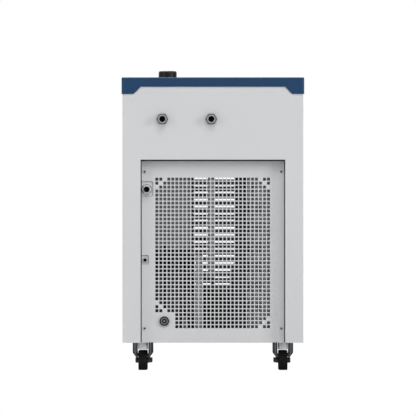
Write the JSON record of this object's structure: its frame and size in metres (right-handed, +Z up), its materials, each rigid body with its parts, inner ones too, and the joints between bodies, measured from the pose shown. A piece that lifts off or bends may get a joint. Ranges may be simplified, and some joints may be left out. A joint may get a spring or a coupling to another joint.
{
  "type": "recirculating chiller",
  "caption": "Floor-standing recirculating chiller cabinet on casters with rear water ports, a recessed perforated panel, a lid with filler cap, and its cooling parts inside.",
  "frame": {"origin": "on the floor, under the middle of the whole machine's bounding box", "axes": "+Z up, +Y towards the rear with the water ports and the perforated panel, -Y towards the front with the controls, +X to the right as seen from the front"},
  "size_m": [0.455, 0.5346, 0.747],
  "materials": {
    "grey_paint": "fine powder coat, satin",
    "blue_paint": "powder coat, satin",
    "pan_steel": "powder coat, satin",
    "zinc_steel": "bright zinc plate",
    "galvanised": "galvanised sheet, semi-matt",
    "stainless": "brushed",
    "port_metal": "turned and nickel plated",
    "black_plastic": "moulded, fine grain",
    "grey_plastic": "moulded, smooth",
    "key_plastic": "moulded, satin",
    "dark_pane": "polished",
    "board_green": "lacquered",
    "caster_rubber": "matt",
    "hose_grey": "smooth, semi-matt",
    "rubber": "matt",
    "copper": "drawn, slightly dull",
    "black_enamel": "gloss enamel",
    "motor_paint": "enamel, satin",
    "condenser_alu": "mill finish"
  },
  "bodies": {
    "case": {"base_pan": "pan_steel", "front_panel": "grey_paint", "side_panel_left": "grey_paint", "side_panel_right": "grey_paint", "rear_surround": "grey_paint", "rear_grille": "grey_paint", "grille_screws": "zinc_steel", "top_cover": "blue_paint", "supply_port": "port_metal", "return_port": "port_metal", "overflow_port": "port_metal", "port_nuts": "port_metal", "cable_gland": "black_plastic", "drain_fitting": "black_plastic", "caster_plates": "zinc_steel", "tank_stand": "galvanised", "water_tank": "stainless", "filler_neck": "stainless", "heat_exchanger": "stainless", "circulation_pump": "motor_paint", "compressor": "black_enamel", "compressor_mounts": "rubber", "condenser": "condenser_alu", "fan_shroud": "galvanised", "fan_bracket": "galvanised", "fan_motor": "motor_paint", "filter_drier": "copper", "discharge_line": "copper", "liquid_line": "copper", "suction_line": "copper", "supply_hose": "hose_grey", "return_hose": "hose_grey", "overflow_hose": "hose_grey", "drain_hose": "hose_grey", "pump_hose": "hose_grey", "electrical_box": "pan_steel", "control_fascia": "grey_plastic", "display_window": "dark_pane", "control_board": "board_green", "switch_housing": "black_plastic"},
    "fork_rear_right": {"caster_fork_rear_right": "zinc_steel", "caster_axle_rear_right": "zinc_steel"},
    "wheel_rear_right": {"caster_wheel_rear_right": "caster_rubber"},
    "fork_rear_left": {"caster_fork_rear_left": "zinc_steel", "caster_axle_rear_left": "zinc_steel"},
    "wheel_rear_left": {"caster_wheel_rear_left": "caster_rubber"},
    "fork_front_right": {"caster_fork_front_right": "zinc_steel", "caster_axle_front_right": "zinc_steel"},
    "wheel_front_right": {"caster_wheel_front_right": "caster_rubber"},
    "fork_front_left": {"caster_fork_front_left": "zinc_steel", "caster_axle_front_left": "zinc_steel"},
    "wheel_front_left": {"caster_wheel_front_left": "caster_rubber"},
    "fan": {"fan_blade": "black_plastic"},
    "seal": {"cap_seal": "rubber"},
    "cap": {"filler_cap": "black_plastic"},
    "plug": {"drain_plug": "grey_plastic"},
    "rocker": {"power_rocker": "grey_plastic"},
    "key_down_cap": {"key_down": "key_plastic"},
    "key_up_cap": {"key_up": "key_plastic"},
    "key_enter_cap": {"key_enter": "key_plastic"}
  },
  "joints": [
    {"name": "caster_swivel_rear_right", "type": "hinge", "parent": "case", "child": "fork_rear_right", "pos_m": [0.175, 0.17525, 0.0719], "axis": [0, 0, 1], "continuous": true},
    {"name": "wheel_spin_rear_right", "type": "hinge", "parent": "fork_rear_right", "child": "wheel_rear_right", "pos_m": [0.175, 0.15325, 0.025], "axis": [1, 0, 0], "continuous": true},
    {"name": "caster_swivel_rear_left", "type": "hinge", "parent": "case", "child": "fork_rear_left", "pos_m": [-0.175, 0.17525, 0.0719], "axis": [0, 0, 1], "continuous": true},
    {"name": "wheel_spin_rear_left", "type": "hinge", "parent": "fork_rear_left", "child": "wheel_rear_left", "pos_m": [-0.175, 0.15325, 0.025], "axis": [1, 0, 0], "continuous": true},
    {"name": "caster_swivel_front_right", "type": "hinge", "parent": "case", "child": "fork_front_right", "pos_m": [0.175, -0.22025, 0.0719], "axis": [0, 0, 1], "continuous": true},
    {"name": "wheel_spin_front_right", "type": "hinge", "parent": "fork_front_right", "child": "wheel_front_right", "pos_m": [0.175, -0.24225, 0.025], "axis": [1, 0, 0], "continuous": true},
    {"name": "caster_swivel_front_left", "type": "hinge", "parent": "case", "child": "fork_front_left", "pos_m": [-0.175, -0.22025, 0.0719], "axis": [0, 0, 1], "continuous": true},
    {"name": "wheel_spin_front_left", "type": "hinge", "parent": "fork_front_left", "child": "wheel_front_left", "pos_m": [-0.175, -0.24225, 0.025], "axis": [1, 0, 0], "continuous": true},
    {"name": "fan_spin", "type": "hinge", "parent": "case", "child": "fan", "pos_m": [-0.158, -0.01725, 0.283], "axis": [1, 0, 0], "continuous": true},
    {"name": "filler_cap_rise", "type": "slide", "parent": "case", "child": "seal", "axis": [0, 0, 1], "range_m": [0, 0.0046]},
    {"name": "filler_cap_turn", "type": "hinge", "parent": "seal", "child": "cap", "pos_m": [0.113, 0.09725, 0.742], "axis": [0, 0, 1], "range_deg": [0, 540]},
    {"name": "drain_plug_pull", "type": "slide", "parent": "case", "child": "plug", "axis": [0, 1, 0], "range_m": [0, 0.015]},
    {"name": "power_rocker_tilt", "type": "hinge", "parent": "case", "child": "rocker", "pos_m": [0.112, -0.25725, 0.6388], "axis": [1, 0, 0], "range_deg": [0, 18]},
    {"name": "key_down_press", "type": "slide", "parent": "case", "child": "key_down_cap", "axis": [0, 1, 0], "range_m": [0, 0.0015], "stiffness_N_per_m": 300},
    {"name": "key_up_press", "type": "slide", "parent": "case", "child": "key_up_cap", "axis": [0, 1, 0], "range_m": [0, 0.0015], "stiffness_N_per_m": 300},
    {"name": "key_enter_press", "type": "slide", "parent": "case", "child": "key_enter_cap", "axis": [0, 1, 0], "range_m": [0, 0.0015], "stiffness_N_per_m": 300}
  ],
  "couplings": [
    {"joint": "filler_cap_rise", "follows": "filler_cap_turn", "m_per_rad": 0.00047746}
  ]
}
